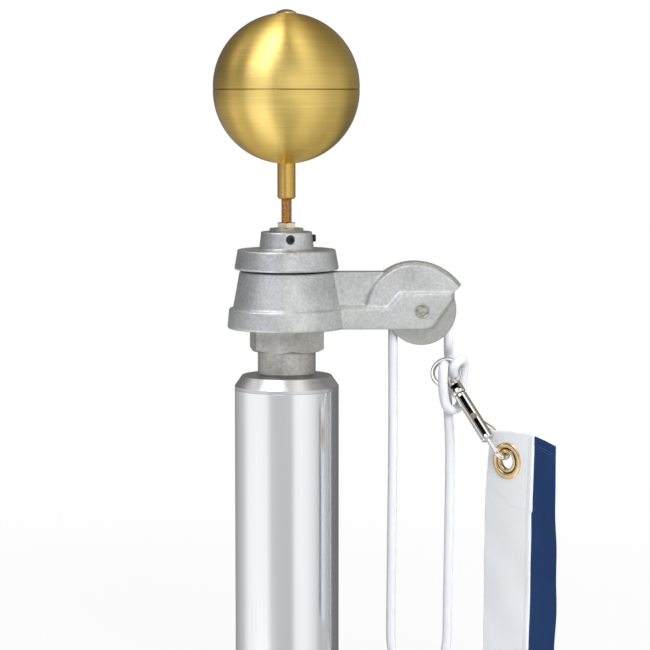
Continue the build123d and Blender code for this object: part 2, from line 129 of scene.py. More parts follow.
def grain(tree, place, scale, detail=3.0):
    """Noise over a place that is first stretched, by one number or by one along each axis."""
    if not isinstance(scale, tuple):
        scale = (scale, scale, scale)
    stretched = vector_calc(tree, "MULTIPLY", place, scale)
    return node(tree, "ShaderNodeTexNoise", stretched, None, 1.0, detail, noise_dimensions="3D")


def link(made, socket, source):
    """Leads an output, or a node's first output, to the material's shader."""
    if isinstance(source, bpy.types.Node):
        source = source.outputs[0]
    tree = made.node_tree
    tree.links.new(source, tree.nodes["Principled BSDF"].inputs[socket])


def bumped(made, height, depth):
    """Bump of that depth in metres from a height between 0 and 1."""
    link(made, "Normal", node(made.node_tree, "ShaderNodeBump", 1.0, depth, None, height))


def finish_with(made, *names):
    """Gives CAD nodes this material."""
    for name in names:
        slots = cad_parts[name].data.materials
        slots.clear()
        slots.append(made)


polish_lines = (1500, 1500, 4)
smudge_scale = (28, 28, 9)
pole_metal = material("pole_metal", (0.9, 0.9, 0.91), 1.0, 0.14)
tree = pole_metal.node_tree
place = surface_place(tree)
lengthwise = grain(tree, place, polish_lines)
smudges = grain(tree, place, smudge_scale)
link(pole_metal, "Roughness", spread(tree, smudges, 0.10, 0.18))
link(pole_metal, "Base Color", blended(tree, lengthwise, (0.86, 0.868, 0.888), (0.92, 0.93, 0.95)))
bumped(pole_metal, lengthwise, 2.5e-6)
finish_with(pole_metal, "pole_tube")


# Plug: a ring of turned aluminium, pressed into the top of the pole. Its bevel leads up from the
# tube's edge to the foot of the spindle.
def round_place(tree):
    """Distance from the pole's axis, turn and height, for the marks that turning leaves."""
    parts = node(tree, "ShaderNodeSeparateXYZ", surface_place(tree))
    flat = node(tree, "ShaderNodeCombineXYZ", parts.outputs[0], parts.outputs[1], 0.0)
    length = vector_calc(tree, "LENGTH", flat)
    turn = calc(tree, "ARCTAN2", parts.outputs[1], parts.outputs[0])
    return node(tree, "ShaderNodeCombineXYZ", length.outputs["Value"], turn, parts.outputs[2])


def turned_metal(name, colour, roughness, lines=9000.0, depth=4e-6, **sockets):
    """Metal with the fine rings that a lathe or a spun brush leaves."""
    made = material(name, colour, 1.0, roughness, **sockets)
    tree = made.node_tree
    rings = grain(tree, round_place(tree), (lines, 1.2, lines), 2.0)
    wide = grain(tree, round_place(tree), (lines / 12, 0.6, lines / 12), 2.0)
    both = calc(tree, "MULTIPLY", rings, wide)
    dark = tuple(0.86 * part for part in colour)
    link(made, "Base Color", blended(tree, spread(tree, both, 0.0, 2.4), dark, colour))
    link(made, "Roughness", spread(tree, wide, roughness * 0.8, roughness * 1.25))
    bumped(made, rings, depth)
    return made


plug_metal = turned_metal("plug_metal", (0.80, 0.80, 0.815), 0.3)
finish_with(plug_metal, "pole_plug")

# Spindle: one turned piece with a round foot, a hexagon and a shaft, in a duller and warmer
# metal than the castings. Its thread shows for three millimetres above the collar of the cap.
spindle_metal = material("spindle_metal", (0.52, 0.51, 0.475), 0.85, 0.42)
tree = spindle_metal.node_tree
place = surface_place(tree)
skin = grain(tree, place, 420, 6.0)
patches = grain(tree, place, 60, 3.0)
dullness = mapped(tree, calc(tree, "ADD", skin, patches), 0.65, 1.35)
link(spindle_metal, "Base Color", blended(tree, dullness, (0.38, 0.372, 0.345), (0.66, 0.65, 0.61)))
link(spindle_metal, "Roughness", spread(tree, skin, 0.32, 0.52))
bumped(spindle_metal, skin, 1.6e-4)
finish_with(spindle_metal, "spindle")


def geometry_tree(name, **inputs):
    """New Geometry Nodes tree with named number inputs, as the tree and its inputs by name."""
    made = bpy.data.node_groups.new(name, "GeometryNodeTree")
    made.interface.new_socket("Geometry", in_out="INPUT", socket_type="NodeSocketGeometry")
    made.interface.new_socket("Geometry", in_out="OUTPUT", socket_type="NodeSocketGeometry")
    made.interface.new_socket("Material", in_out="INPUT", socket_type="NodeSocketMaterial")
    for key, value in inputs.items():
        kind = "NodeSocketInt" if isinstance(value, int) else "NodeSocketFloat"
        socket = made.interface.new_socket(key, in_out="INPUT", socket_type=kind)
        socket.default_value = value
    return made, {socket.name: socket for socket in made.nodes.new("NodeGroupInput").outputs}


def give_out(tree, given, last):
    """Ends a geometry tree: real meshes, smooth, in the material that it was given."""
    real = node(tree, "GeometryNodeRealizeInstances", last)
    smooth = node(tree, "GeometryNodeSetShadeSmooth", real)
    painted = node(tree, "GeometryNodeSetMaterial", smooth)
    tree.links.new(given["Material"], painted.inputs["Material"])
    tree.links.new(painted.outputs[0], tree.nodes.new("NodeGroupOutput").inputs[0])


def plain_mesh(made):
    """What an object's modifiers or curve give, as a mesh of its own."""
    return bpy.data.meshes.new_from_object(
        made.evaluated_get(bpy.context.evaluated_depsgraph_get()))


def put_in_scene(name, data):
    """New object in the scene, at the origin."""
    made = bpy.data.objects.new(name, data)
    scene.collection.objects.link(made)
    return made


def grown(name, tree, base=None, **values):
    """Runs a geometry tree with those input values and returns its result as a plain mesh."""
    holder = put_in_scene(name + "_maker", base or bpy.data.meshes.new(name + "_base"))
    modifier = holder.modifiers.new("tree", "NODES")
    modifier.node_group = tree
    for item in tree.interface.items_tree:
        if item.in_out == "INPUT" and item.name in values:
            modifier[item.identifier] = values[item.name]
    mesh = plain_mesh(holder)
    mesh.name = name
    bpy.data.objects.remove(holder)
    return put_in_scene(name, mesh)


def thread_tree():
    """Screw thread: a grid wound round Z whose radius rises and falls once for each pitch."""
    tree, given = geometry_tree("screw_thread", radius=0.005, depth=0.0005, pitch=0.001, low=0.0,
                                high=0.01, rows=100, columns=48)
    grid = node(tree, "GeometryNodeMeshGrid", 1.0, 1.0, given["columns"], given["rows"])
    across = node(tree, "ShaderNodeSeparateXYZ", node(tree, "GeometryNodeInputPosition"))
    starts = calc(tree, "ADD", across, 0.5)
    turn = calc(tree, "MULTIPLY", starts, 2 * pi)
    up = mapped(tree, across.outputs[1], -0.5, 0.5, given["low"], given["high"])
    phase = calc(tree, "SUBTRACT", calc(tree, "DIVIDE", up, given["pitch"]), starts)
    ridge = calc(tree, "PINGPONG", calc(tree, "MULTIPLY", phase, 2.0), 1.0)
    crest = mapped(tree, ridge, 0.1, 0.85, 1.0, 0.0)
    sink = calc(tree, "MULTIPLY", crest, given["depth"])
    reach = calc(tree, "SUBTRACT", given["radius"], sink)
    x = calc(tree, "MULTIPLY", calc(tree, "COSINE", turn), reach)
    y = calc(tree, "MULTIPLY", calc(tree, "SINE", turn), reach)
    wound = node(tree, "GeometryNodeSetPosition", grid.outputs["Mesh"], None,
                 node(tree, "ShaderNodeCombineXYZ", x, y, up))
    welded = node(tree, "GeometryNodeMergeByDistance", wound)
    welded.inputs["Distance"].default_value = 1e-6
    give_out(tree, given, welded)
    return tree


screw_thread = thread_tree()
collar_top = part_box("truck_cap")[1].z
spindle_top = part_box("spindle")[1].z
spindle_thread_radius = 0.01492
spindle_thread_depth = 0.00055
spindle_pitch = 0.00127
plain_end = 0.0002
spindle_thread = grown("spindle_thread", screw_thread, radius=spindle_thread_radius,
                       depth=spindle_thread_depth, pitch=spindle_pitch, low=collar_top,
                       high=spindle_top - plain_end, rows=40, columns=96,
                       Material=spindle_metal)
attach(spindle_thread, "pole")


# Truck: one sand casting with a flange, a tall housing, and the arm's web, rails, cheeks and hood.
# Its cap is a second one, which set screws hold on the spindle. The mould leaves a fine grain and
# soft edges, and the edges are painted brighter, a painted highlight.
edge_reach = 0.0014
# Colour of the painted highlight on the castings' edges.
edge_highlight = (0.80, 0.81, 0.81)
skin_grid = 0.00085
rub_strokes = 3


def mixed(tree, share, first, second, **settings):
    """Mix of two colours, each one plain or an output of a node."""
    mix = node(tree, "ShaderNodeMix", share, data_type="RGBA", **settings)
    for socket, colour in (("A", first), ("B", second)):
        if isinstance(colour, tuple):
            mix.inputs[socket].default_value = (*colour, 1)
        else:
            tree.links.new(colour, mix.inputs[socket])
    return mix.outputs["Result"]


def sand_cast(name, dark, light, metallic, roughness):
    """Aluminium out of a sand mould: grainy and mottled, with a painted highlight on its edges."""
    made = material(name, light, metallic, roughness)
    tree = made.node_tree
    place = surface_place(tree)
    sand = grain(tree, place, 900, 8.0)
    mottle = grain(tree, place, 380, 6.0)
    drift = grain(tree, place, 30, 2.0)
    tone = mapped(tree, calc(tree, "ADD", mottle, drift), 0.65, 1.35)
    # Painted highlight: the colour goes to edge_highlight where the rounded normal leaves the true
    # one.
    rounded = node(tree, "ShaderNodeBevel", edge_reach, samples=6)
    facing = vector_calc(tree, "DOT_PRODUCT", rounded,
                         node(tree, "ShaderNodeNewGeometry").outputs["Normal"])
    edge = mapped(tree, facing.outputs["Value"], 0.995, 0.9, 0.0, 0.8)
    link(made, "Base Color", mixed(tree, edge, blended(tree, tone, dark, light), edge_highlight))
    link(made, "Roughness", spread(tree, sand, roughness * 0.8, roughness * 1.25))
    bumped(made, calc(tree, "ADD", sand, mottle), 2e-4)
    return made


def cast_from(name, source, paint):
    """Copy of a CAD node as a mould leaves it: one even skin whose sharp edges are rubbed round."""
    made = put_in_scene(name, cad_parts[source].data.copy())
    weld = made.modifiers.new("weld", "WELD")
    weld.merge_threshold = 2e-6
    skin = made.modifiers.new("skin", "REMESH")
    skin.mode = "VOXEL"
    skin.voxel_size = skin_grid
    skin.use_smooth_shade = True
    rub = made.modifiers.new("rub", "SMOOTH")
    rub.factor = 0.5
    rub.iterations = rub_strokes
    mesh = plain_mesh(made)
    made.modifiers.clear()
    made.data = mesh
    mesh.materials.clear()
    mesh.materials.append(paint)
    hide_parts(source)
    return made


truck_metal = sand_cast("truck_metal", (0.47, 0.48, 0.48), (0.75, 0.76, 0.76), 0.85, 0.43)
head_metal = sand_cast("head_metal", (0.485, 0.495, 0.503), (0.785, 0.80, 0.81), 0.92, 0.37)
truck_skin = cast_from("truck_skin", "truck_casting", truck_metal)
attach(truck_skin, "truck")
cap_skin = cast_from("cap_skin", "truck_cap", head_metal)
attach(cap_skin, "pole")


# Axle pin: plain steel, which the sheave turns on. Each end is hammered down over the cheek, and
# that leaves a bright rim round a dented middle.
def smooth_piece(name, shape, paint):
    """New smooth piece in that material from a finished shape."""
    for face in shape.faces:
        face.smooth = True
    mesh = bpy.data.meshes.new(name)
    shape.to_mesh(mesh)
    shape.free()
    mesh.materials.append(paint)
    return put_in_scene(name, mesh)


def lathed(name, profile, put, paint, steps=96):
    """Closed turned body from a profile of radius and height. The put function gives the place of
    a point from its radius, turn and height."""
    shape = bmesh.new()
    rounds = [[shape.verts.new(put(radius, 2 * pi * k / steps, out)) for radius, out in profile]
              for k in range(steps)]
    for here, there in zip(rounds, rounds[1:] + rounds[:1]):
        for low, high in zip(range(len(profile)), [*range(1, len(profile)), 0]):
            shape.faces.new((here[low], there[low], there[high], here[high]))
    bmesh.ops.remove_doubles(shape, verts=shape.verts, dist=1e-7)
    bmesh.ops.recalc_face_normals(shape, faces=shape.faces)
    return smooth_piece(name, shape, paint)


pin_metal = material("pin_metal", (0.50, 0.50, 0.46), 1.0, 0.34)
tree = pin_metal.node_tree
place = surface_place(tree)
scuffs = grain(tree, place, 700, 5.0)
dents = grain(tree, place, 420, 1.0)
link(pin_metal, "Roughness", spread(tree, scuffs, 0.25, 0.5))
link(pin_metal, "Base Color", blended(tree, mapped(tree, dents, 0.35, 0.65),
                                      (0.38, 0.38, 0.35), (0.60, 0.60, 0.56)))
bumped(pin_metal, calc(tree, "ADD", dents, scuffs), 1.2e-4)
pin_low, pin_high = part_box("axle_pin")
pin_x, pin_z = (pin_low.x + pin_high.x) / 2, (pin_low.z + pin_high.z) / 2
pin_half = pin_high.y / MM
hammered_head = [(0, -0.5), (2.4, -0.4), (4.2, -0.6), (4.7, -1.1), (5.1, -1.1), (5.4, -0.2),
                 (5.9, 0.0), (6.3, -0.4), (6.4, -1.35), (4.7, -1.4)]
pin_profile = [(radius, pin_half + out) for radius, out in hammered_head]
pin_profile += [(radius, -out) for radius, out in reversed(pin_profile)]


def round_axle(radius, turn, out):
    """Place on the pin, from millimetres and a turn."""
    return Vector((pin_x + radius * cos(turn) * MM, out * MM, pin_z + radius * sin(turn) * MM))


rivet = lathed("rivet", pin_profile, round_axle, pin_metal)
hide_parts("axle_pin")
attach(rivet, "truck")

# Sheave: a turned aluminium wheel between the cheeks, with a groove for the rope. It turns on the
# pin, and the rope and the weather have dulled it.
sheave_metal = material("sheave_metal", (0.66, 0.66, 0.64), 0.9, 0.38)
tree = sheave_metal.node_tree
scuffs = grain(tree, surface_place(tree), (300, 60, 300), 5.0)
link(sheave_metal, "Base Color", blended(tree, scuffs, (0.36, 0.36, 0.345), (0.60, 0.60, 0.58)))
link(sheave_metal, "Roughness", spread(tree, scuffs, 0.28, 0.5))
finish_with(sheave_metal, "sheave")

# Set screws: steel with black oxide, and a hexagon socket in the end. They go through the collar
# and clamp the cap on the spindle.
screw_metal = material("screw_metal", (0.022, 0.022, 0.024), 0.6, 0.38)
tree = screw_metal.node_tree
scuffs = grain(tree, surface_place(tree), 900, 4.0)
link(screw_metal, "Base Color", blended(tree, scuffs, (0.012, 0.012, 0.013),
                                        (0.045, 0.045, 0.047)))
finish_with(screw_metal, "set_screw_front", "set_screw_side")

# Jam nut: pale plated brass, turned and then milled to a hexagon. It runs on the rod and is
# tightened down on the spindle, so that the rod can't turn loose.
nut_metal = turned_metal("nut_metal", (0.90, 0.86, 0.64), 0.24)
finish_with(nut_metal, "jam_nut")


# Rod: threaded brass, coppery where it shows, from the spindle up through the ball. The nut and
# the sleeve cover its thread, apart from a short length between them.
def add_bar(shape, radius, low, high, sides=64):
    """Adds a closed round bar on the Z axis to a shape."""
    bmesh.ops.create_cone(shape, cap_ends=True, segments=sides, radius1=radius, radius2=radius,
                          depth=high - low, matrix=Matrix.Translation((0, 0, (low + high) / 2)))


rod_metal = turned_metal("rod_metal", (0.66, 0.37, 0.13), 0.26)
rod_low, rod_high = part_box("finial_rod")
rod_radius = (rod_high.x - rod_low.x) / 2
rod_pitch = 0.00159
rod_thread_depth = 0.0007
thread_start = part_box("jam_nut")[0].z
thread_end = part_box("rod_sleeve")[0].z + 0.004
core_overlap = 0.001
rod_core = bpy.data.meshes.new("rod_core")
shape = bmesh.new()
add_bar(shape, rod_radius, rod_low.z, thread_start)
add_bar(shape, rod_radius, thread_end, rod_high.z)
add_bar(shape, rod_radius - rod_thread_depth, thread_start, thread_end + core_overlap)
shape.to_mesh(rod_core)
shape.free()
rod_core.shade_smooth()
threaded_rod = grown("threaded_rod", screw_thread, radius=rod_radius, depth=rod_thread_depth,
                     pitch=rod_pitch, low=thread_start, high=thread_end, rows=260, columns=56,
                     Material=rod_metal)
shape = bmesh.new()
shape.from_mesh(threaded_rod.data)
shape.from_mesh(rod_core)
shape.to_mesh(threaded_rod.data)
shape.free()
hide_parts("finial_rod")
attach(threaded_rod, "pole")


# Sleeve: a turned spacer with a gold finish. It slips over the rod, and the ball stands on it.
# Like the ball it is brushed while it turns.
def brushed_round(name, colour, roughness):
    """Metal brushed round and round, which draws every light out into an upright streak."""
    made = turned_metal(name, colour, roughness, lines=5200.0, depth=2e-6, Anisotropic=0.98,
                        Anisotropic_Rotation=0.25)
    link(made, "Tangent", node(made.node_tree, "ShaderNodeTangent", direction_type="RADIAL",
                               axis="Z"))
    return made


sleeve_metal = brushed_round("sleeve_metal", (0.76, 0.49, 0.14), 0.24)
finish_with(sleeve_metal, "rod_sleeve")

# Ball: two spun aluminium halves with a gold finish, brushed round and round while they turn, so
# that every light draws out into an upright streak. The halves meet in a fine seam, painted dark as
# shade, and a polished cap nut on the rod holds them down. The gold is painted paler where it faces
# the camera and deeper towards its rim, a painted highlight and painted shade.
ball_metal = brushed_round("ball_metal", (0.94, 0.68, 0.20), 0.3)
tree = ball_metal.node_tree
# Painted highlight and rim shade: the gold is paler where it faces the camera and deeper at the
# rim.
slant = node(tree, "ShaderNodeLayerWeight", 0.5).outputs["Facing"]
gold = blended(tree, slant, (0.95, 0.72, 0.24), (0.87, 0.56, 0.11))
brush = mapped(tree, grain(tree, round_place(tree), (620.0, 0.8, 620.0)), 0.3, 0.7)
brush_lines = blended(tree, brush, (0.89, 0.875, 0.84), (1.0, 1.0, 1.0))
brushed = mixed(tree, 1.0, gold, brush_lines, blend_type="MULTIPLY")
# Painted shade: a dark band along the seam between the halves.
seam_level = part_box("ball_upper")[0].z
seam_shade_half = 0.0003
seam_shade_edge = 0.0008
up = node(tree, "ShaderNodeSeparateXYZ", surface_place(tree)).outputs[2]
from_seam = calc(tree, "ABSOLUTE", calc(tree, "SUBTRACT", up, seam_level))
seam = mapped(tree, from_seam, seam_shade_half, seam_shade_edge, 0.6, 0.0)
link(ball_metal, "Base Color", mixed(tree, seam, brushed, (0.26, 0.14, 0.03)))
finish_with(ball_metal, "ball_lower", "ball_upper")
cap_metal = turned_metal("ball_cap_metal", (0.84, 0.66, 0.30), 0.13)
finish_with(cap_metal, "ball_cap")

# Rope: an eight millimetre braid. From the snap's eye it runs up over the sheave, down, round and
# up again, and its last part makes the turns through the eye. Both ends meet inside the hitch.
rope_diameter = 0.008
line = 0.1414
back_line = 0.0926
eye = Vector((line, 0, 0.2753))


def by_eye(x, y, z):
    """Place on the hitch, given in rope diameters from where the rope crosses the eye."""
    return eye + Vector((x, y, z)) * rope_diameter


rope_turns = [
    (0, 0, -4.3), (-0.05, 0.8, -2.9), (-0.25, 1.1, -1.4), (-0.6, 0.3, -0.1), (-0.5, -0.8, 1.1),
    (-0.7, -1.85, 0.8), (-0.75, -1.95, -0.9), (-0.6, -1.6, -2.5), (-0.25, -1.55, -3.85),
    (1.1, -0.25, -4.1), (1.65, 0.95, -2.65), (1.6, 0.95, -0.9), (1.85, 0.6, 0.9),
    (1.35, -1.0, 1.75), (0.4, -1.75, 0.9), (0.5, -0.3, -0.45),
]
joint = by_eye(0.45, 0.58, -0.1)
rope_route = [
    joint, by_eye(0.4, 1.45, 0.25), by_eye(0.1, 1.75, 2.0), (line, 0, 0.3011), (line, 0, 0.3209),
    (line, 0, 0.3411), (0.1271, 0, 0.3554), (0.1069, 0, 0.3554), (back_line, 0, 0.3411),
    (back_line, 0, 0.3209), (0.0932, 0.0002, 0.2300), (0.0924, -0.0003, 0.1500),
    (0.0916, 0, 0.0635), (0.0916, 0, 0.0233), (0.1062, 0, 0.0090), (0.1268, 0, 0.0090),
    (0.1414, 0, 0.0233), (0.1416, 0, 0.0635), (0.1427, 0.0003, 0.1400), (0.1433, 0, 0.2130),
    *(by_eye(*turn) for turn in rope_turns), joint,
]
rope_curve = bpy.data.curves.new("rope_route", "CURVE")
rope_curve.dimensions = "3D"
spline = rope_curve.splines.new("NURBS")
spline.points.add(len(rope_route) - 1)
for point, place in zip(spline.points, rope_route):
    point.co = (*place, 1)
spline.order_u = 3
spline.use_endpoint_u = True
spline.resolution_u = 24


def braid_tree():
    """Braid: a tube along a curve whose surface rises into two crossing sets of strands that pass
    over and under each other. It keeps how high each point lies, for the material's painted shade."""
    tree, given = geometry_tree("braid", radius=0.004, depth=0.0005, step=0.0006, strands=8,
                                slant=0.016, sides=48)
    even = node(tree, "GeometryNodeResampleCurve", given["Geometry"])
    even.mode = "LENGTH"
    tree.links.new(given["step"], even.inputs["Length"])
    along = node(tree, "GeometryNodeCaptureAttribute", even)
    along.capture_items.new("FLOAT", "along")
    tree.links.new(node(tree, "GeometryNodeSplineParameter").outputs["Length"], along.inputs[1])
    ring = node(tree, "GeometryNodeCurvePrimitiveCircle", given["sides"])
    tree.links.new(given["radius"], ring.inputs["Radius"])
    around = node(tree, "GeometryNodeCaptureAttribute", ring.outputs["Curve"])
    around.capture_items.new("FLOAT", "around")
    tree.links.new(node(tree, "GeometryNodeSplineParameter").outputs["Factor"], around.inputs[1])
    tube = node(tree, "GeometryNodeCurveToMesh", along.outputs[0], around.outputs[0])
    turns = calc(tree, "MULTIPLY", around.outputs[1], given["strands"])
    runs = calc(tree, "DIVIDE", along.outputs[1], given["slant"])
    runs = calc(tree, "MULTIPLY", runs, given["strands"])
    right = calc(tree, "ADD", turns, runs)
    left = calc(tree, "SUBTRACT", turns, runs)

    def crown(strand):
        wave = calc(tree, "SINE", calc(tree, "MULTIPLY", strand, pi))
        return calc(tree, "POWER", calc(tree, "ABSOLUTE", wave), 0.6)

    cells = calc(tree, "ADD", calc(tree, "FLOOR", right), calc(tree, "FLOOR", left))
    over = calc(tree, "GREATER_THAN", calc(tree, "FLOORED_MODULO", cells, 2.0), 0.5)
    lift = node(tree, "ShaderNodeMix", over, data_type="FLOAT")
    tree.links.new(crown(right).outputs[0], lift.inputs["A"])
    tree.links.new(crown(left).outputs[0], lift.inputs["B"])
    offset = calc(tree, "MULTIPLY", spread(tree, lift, -0.6, 0.4), given["depth"])
    push = vector_calc(tree, "SCALE", node(tree, "GeometryNodeInputNormal"))
    tree.links.new(offset.outputs[0], push.inputs["Scale"])
    raised = node(tree, "GeometryNodeSetPosition", tube, None, None, push)
    stored = node(tree, "GeometryNodeStoreNamedAttribute", raised)
    stored.inputs["Name"].default_value = "lift"
    tree.links.new(lift.outputs[0], stored.inputs["Value"])
    give_out(tree, given, stored)
    return tree


rope_fibre = material("rope_fibre", (0.88, 0.88, 0.905), 0.0, 0.62, Sheen_Weight=0.2,
                      Sheen_Roughness=0.4)
tree = rope_fibre.node_tree
# Painted shade: the braid's low parts, between the strands, are painted darker, mottled by fuzz.
lift = node(tree, "ShaderNodeAttribute", attribute_name="lift")
fuzz = grain(tree, surface_place(tree), (2600, 2600, 900), 4.0)
height = calc(tree, "MULTIPLY", lift.outputs["Fac"], fuzz)
link(rope_fibre, "Base Color", blended(tree, spread(tree, height, 0.0, 1.8), (0.66, 0.67, 0.72),
                                       (0.87, 0.88, 0.91)))
bumped(rope_fibre, fuzz, 6e-5)
rope = grown("rope", braid_tree(), rope_curve, radius=rope_diameter / 2, step=0.00058,
             Material=rope_fibre)
route_holder = put_in_scene("rope_route", rope_curve)
rope_path = [vertex.co.copy() for vertex in plain_mesh(route_holder).vertices]
bpy.data.objects.remove(route_holder)
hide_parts("halyard", "halyard_hitch")
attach(rope, "truck")

# Snap: nickel-plated steel, an eye on a swivel, a slotted barrel and a hook. The spring bolt in
# the barrel closes the hook, and its stud, rubbed through to the brass, slides in the slot.
snap_slope = radians(47)
snap_turn = radians(47)
snap_axis = Vector((cos(snap_slope) * cos(snap_turn), -cos(snap_slope) * sin(snap_turn),
                    -sin(snap_slope)))
eye_centre = eye + Vector((-0.0019, 0, 0))
nickel = material("nickel", (0.88, 0.86, 0.83), 1.0, 0.14)
tree = nickel.node_tree
place = surface_place(tree)
rubs = grain(tree, place, 160, 5.0)
scratches = grain(tree, place, (3000, 500, 900), 2.0)
link(nickel, "Roughness", spread(tree, rubs, 0.06, 0.2))
bumped(nickel, scratches, 5e-6)
from_eye = vector_calc(tree, "SUBTRACT", place, tuple(eye_centre))
along = vector_calc(tree, "DOT_PRODUCT", from_eye, tuple(snap_axis)).outputs["Value"]
away = vector_calc(tree, "CROSS_PRODUCT", from_eye, tuple(snap_axis))
away = vector_calc(tree, "LENGTH", away).outputs["Value"]


def within(start, end, radius):
    """1 inside a cylinder on the snap's axis, in millimetres from the centre of the eye."""
    middle, half = (start + end) / 2 * MM, (end - start) / 2 * MM
    lengthways = calc(tree, "COMPARE", along, middle, half)
    return calc(tree, "MULTIPLY", lengthways, calc(tree, "LESS_THAN", away, radius * MM))


yoke_pocket = within(15.0, 21.7, 5.2)
post_head = within(18.5, 21.7, 3.5)
barrel_bore = within(27.4, 72.6, 4.7)
shaded = calc(tree, "ADD", calc(tree, "SUBTRACT", yoke_pocket, post_head), barrel_bore)
# Painted reflection: the nickel goes dark towards its rim, where it turns away from the camera.
rim = node(tree, "ShaderNodeLayerWeight", 0.5).outputs["Facing"]
plating_and_painted_dark_rim = blended(tree, mapped(tree, rim, 0.5, 0.85), (0.93, 0.91, 0.88), (0.16, 0.145, 0.125))
link(nickel, "Base Color", mixed(tree, shaded, plating_and_painted_dark_rim, (0.010, 0.009, 0.008)))
finish_with(nickel, "snap_eye", "snap_body", "snap_bolt")
stud_metal = material("stud_metal", (0.30, 0.22, 0.14), 0.9, 0.36)
tree = stud_metal.node_tree
rubs = grain(tree, surface_place(tree), 500, 5.0)
link(stud_metal, "Base Color", blended(tree, rubs, (0.10, 0.075, 0.05), (0.28, 0.21, 0.14)))
finish_with(stud_metal, "snap_thumb_stud")

# Heading and field: the hoist edge of the flag. The heading is white canvas folded over and
# doubled again at its upper end, and the blue nylon of the field is sewn into its right edge. It
# hangs from the snap by its grommet, so it is nearly flat there and bellies a little below.
strip_turn = radians(47)
strip_along = Vector((cos(strip_turn), -sin(strip_turn), 0))
strip_out = Vector((-sin(strip_turn), -cos(strip_turn), 0))
rings = [Vector(corner) for name in ("grommet", "grommet_washer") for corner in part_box(name)]
strip_centre = Vector(tuple((min(axis) + max(axis)) / 2 for axis in zip(*rings)))
header_thickness = 1.8
field_thickness = 0.8
cloth_foot = (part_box("flag_header")[0].z - strip_centre.z) / MM
# Outlines, in millimetres from the grommet's centre. A side line gives the place across for each
# height, and a top line or the flap's border the height for each place across.
header_left = [(-180, -26.8), (-159, -27.3), (-126, -28.2), (-91, -28.4), (-48, -27.4),
               (-27, -25.9), (9, -22.4), (25, -19.5)]
header_right = [(-180, 25.2), (-150, 25.4), (-118, 25.7), (-83, 26.2), (-42.4, 26.6),
                (-40.8, 27.9), (-31, 28.1), (-5, 29.0), (25, 29.9)]
header_top = [(-20, 24.2), (2, 26.2), (30, 25.8)]
field_right = [(-180, 53.9), (-145, 53.7), (-113, 53.3), (-79, 52.9), (-27, 52.6), (18, 52.2)]
field_top = [(25, 25.2), (30, 24.2), (42, 21.1), (53, 17.6)]
flap_border = [(-28, -20.0), (-18, -24.9), (5, -40.0), (30, -41.2)]
field_tuck = 3.0
bead_half = 2.4
bead_rise = 0.55
doubled_rise = 0.25
doubled_slope = 2.2
hem_depth = 8.8
hem_rise = 0.3
hem_slope = 0.5


def between(points, at):
    """Value of a broken line at a place, level beyond its ends."""
    if at <= points[0][0]:
        return points[0][1]
    for (start, low), (end, high) in zip(points, points[1:]):
        if at <= end:
            return low + (high - low) * (at - start) / (end - start)
    return points[-1][1]


def step(value, width):
    """0 below zero and 1 above the width, with a soft rise between."""
    share = min(max(value / width, 0), 1)
    return share * share * (3 - 2 * share)


def on_strip(across, up, out):
    """Place from millimetres across, up and out of the strip's own plane at the grommet."""
    return strip_centre + (strip_along * across + Vector((0, 0, up)) + strip_out * out) * MM


def belly(across, up):
    """How far the heading's middle layer stands out of the strip's plane."""
    loose = step(-up - 18, 60)
    cupped = -0.0016 * (across - 3) ** 2
    waves = 0.8 * sin(up / 34 + 1) + 0.3 * sin(up / 11 + across / 9)
    return cupped + loose * waves


def header_relief(across, up):
    """Rise of the doubled end and of the seam's bead above the plain heading."""
    seam = (between(header_right, up) - across - bead_half) / bead_half
    bead = bead_rise * sqrt(max(1 - seam * seam, 0))
    return doubled_rise * step(up - between(flap_border, across), doubled_slope) + bead


def field_belly(across, up):
    """The same for the field, which leans back from the seam and waves more towards its edge."""
    seam = 29.5
    away = (across - seam) / 24
    loose = step(-up + 4, 70)
    waves = 0.9 * sin(up / 27 + 2) + 0.4 * sin(up / 9)
    return belly(seam, up) - away + loose * away * waves


def field_relief(across, up):
    """Rise of the hem along the field's top."""
    return hem_rise * step(up - between(field_top, across) + hem_depth, hem_slope)


def cloth(name, paint, left, right, top, thickness, middle, relief, pitch=1.1):
    """Closed panel of cloth whose front and back sheets meet in a round edge."""
    width = between(right, 0) - between(left, 0)
    height = between(top, 0) - cloth_foot
    rim = [thickness / 2 * share for share in (0, 0.06, 0.25, 0.6, 1)]
    columns = int((width - thickness) / pitch)
    rows = int((height - thickness) / pitch)

    def stations(length, count):
        inner = [rim[-1] + (length - 2 * rim[-1]) * k / count for k in range(1, count)]
        return rim + inner + [length - edge for edge in reversed(rim)]

    shape = bmesh.new()
    sheets = {}
    for side in (1, -1):
        for row, rise in enumerate(stations(height, rows)):
            for column, run in enumerate(stations(width, columns)):
                up = cloth_foot + rise
                low, high = between(left, up), between(right, up)
                across = low + (high - low) * run / width
                up = cloth_foot + (between(top, across) - cloth_foot) * rise / height
                inset = min(run, width - run, rise, height - rise) / (thickness / 2)
                round_edge = sqrt(max(1 - (1 - min(inset, 1)) ** 2, 0))
                out = side * round_edge * (thickness / 2 + relief(across, up))
                place = on_strip(across, up, middle(across, up) + out)
                sheets[side, row, column] = shape.verts.new(place)
    last_row, last_column = rows + 2 * len(rim) - 2, columns + 2 * len(rim) - 2
    for side in (1, -1):
        for row in range(last_row):
            for column in range(last_column):
                ring = [sheets[side, row, column], sheets[side, row, column + 1],
                        sheets[side, row + 1, column + 1], sheets[side, row + 1, column]]
                shape.faces.new(ring if side > 0 else ring[::-1])
    bmesh.ops.remove_doubles(shape, verts=shape.verts, dist=1e-6)
    return smooth_piece(name, shape, paint)


